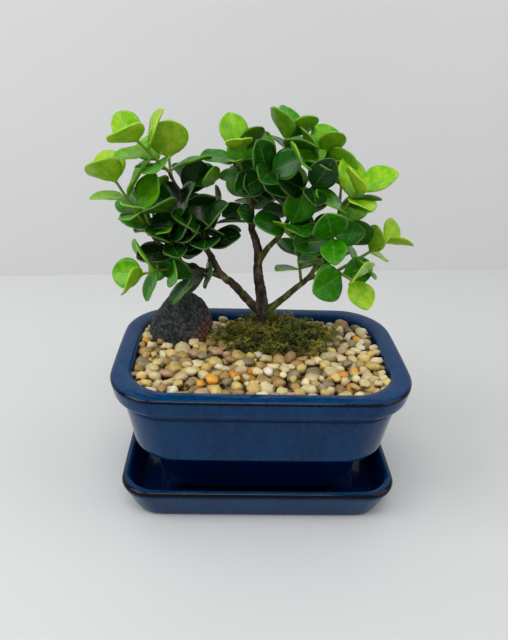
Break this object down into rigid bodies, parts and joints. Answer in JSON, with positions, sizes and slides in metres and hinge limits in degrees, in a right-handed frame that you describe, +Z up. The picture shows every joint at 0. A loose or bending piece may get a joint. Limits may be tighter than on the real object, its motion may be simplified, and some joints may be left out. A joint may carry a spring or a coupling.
{
  "type": "bonsai tree in a pot",
  "caption": "Small broadleaf bonsai tree with forked limbs in a blue glazed rectangular pot with matching drip saucer, pebbles, moss and a lava stone.",
  "frame": {"origin": "middle of the saucer's flat underside", "axes": "+X along the pot's long side to the right, +Y away from the front, +Z up"},
  "size_m": [0.1686, 0.1133, 0.2033],
  "materials": {
    "blue_glaze": "glossy deep blue glaze, breaking brown on the edges",
    "plastic_net": "matte",
    "soil_mix": "matte fired clay grains",
    "pebbles": "smooth natural pebbles, cream to amber",
    "moss": "soft matte strands",
    "lava_rock": "rough, pitted",
    "bark": "rough bark",
    "leaf_and_twig": "glossy waxy leaf"
  },
  "bodies": {
    "root": {"saucer": "blue_glaze", "pot": "blue_glaze", "drain_screen_left": "plastic_net", "drain_screen_right": "plastic_net", "soil": "soil_mix", "gravel": "pebbles", "moss": "moss", "lava_stone": "lava_rock", "trunk_and_limbs": "bark", "shoot_back_left": "leaf_and_twig", "shoot_back_left_low": "leaf_and_twig", "shoot_back_mid": "leaf_and_twig", "shoot_back_right": "leaf_and_twig", "shoot_back_right_low": "leaf_and_twig", "shoot_back_top": "leaf_and_twig", "shoot_crown_low": "leaf_and_twig", "shoot_crown_mid": "leaf_and_twig", "shoot_crown_right": "leaf_and_twig", "shoot_cup": "leaf_and_twig", "shoot_cup_low": "leaf_and_twig", "shoot_cup_side": "leaf_and_twig", "shoot_far_left": "leaf_and_twig", "shoot_left_dark_front": "leaf_and_twig", "shoot_left_dark_high": "leaf_and_twig", "shoot_left_dark_low": "leaf_and_twig", "shoot_left_dark_mid": "leaf_and_twig", "shoot_left_dark_right": "leaf_and_twig", "shoot_left_front": "leaf_and_twig", "shoot_left_mid": "leaf_and_twig", "shoot_left_over_stone": "leaf_and_twig", "shoot_left_rear": "leaf_and_twig", "shoot_node_leaves": "leaf_and_twig", "shoot_right_cluster": "leaf_and_twig", "shoot_right_cluster_up": "leaf_and_twig", "shoot_right_end": "leaf_and_twig", "shoot_right_end_up": "leaf_and_twig", "shoot_right_hang": "leaf_and_twig", "shoot_right_low_left": "leaf_and_twig", "shoot_right_low_up": "leaf_and_twig", "shoot_right_tip": "leaf_and_twig", "shoot_right_top": "leaf_and_twig", "shoot_right_under": "leaf_and_twig", "shoot_stem_leaves": "leaf_and_twig", "shoot_top": "leaf_and_twig", "shoot_top_front": "leaf_and_twig", "shoot_top_left": "leaf_and_twig", "shoot_top_left_up": "leaf_and_twig"}
  },
  "joints": []
}
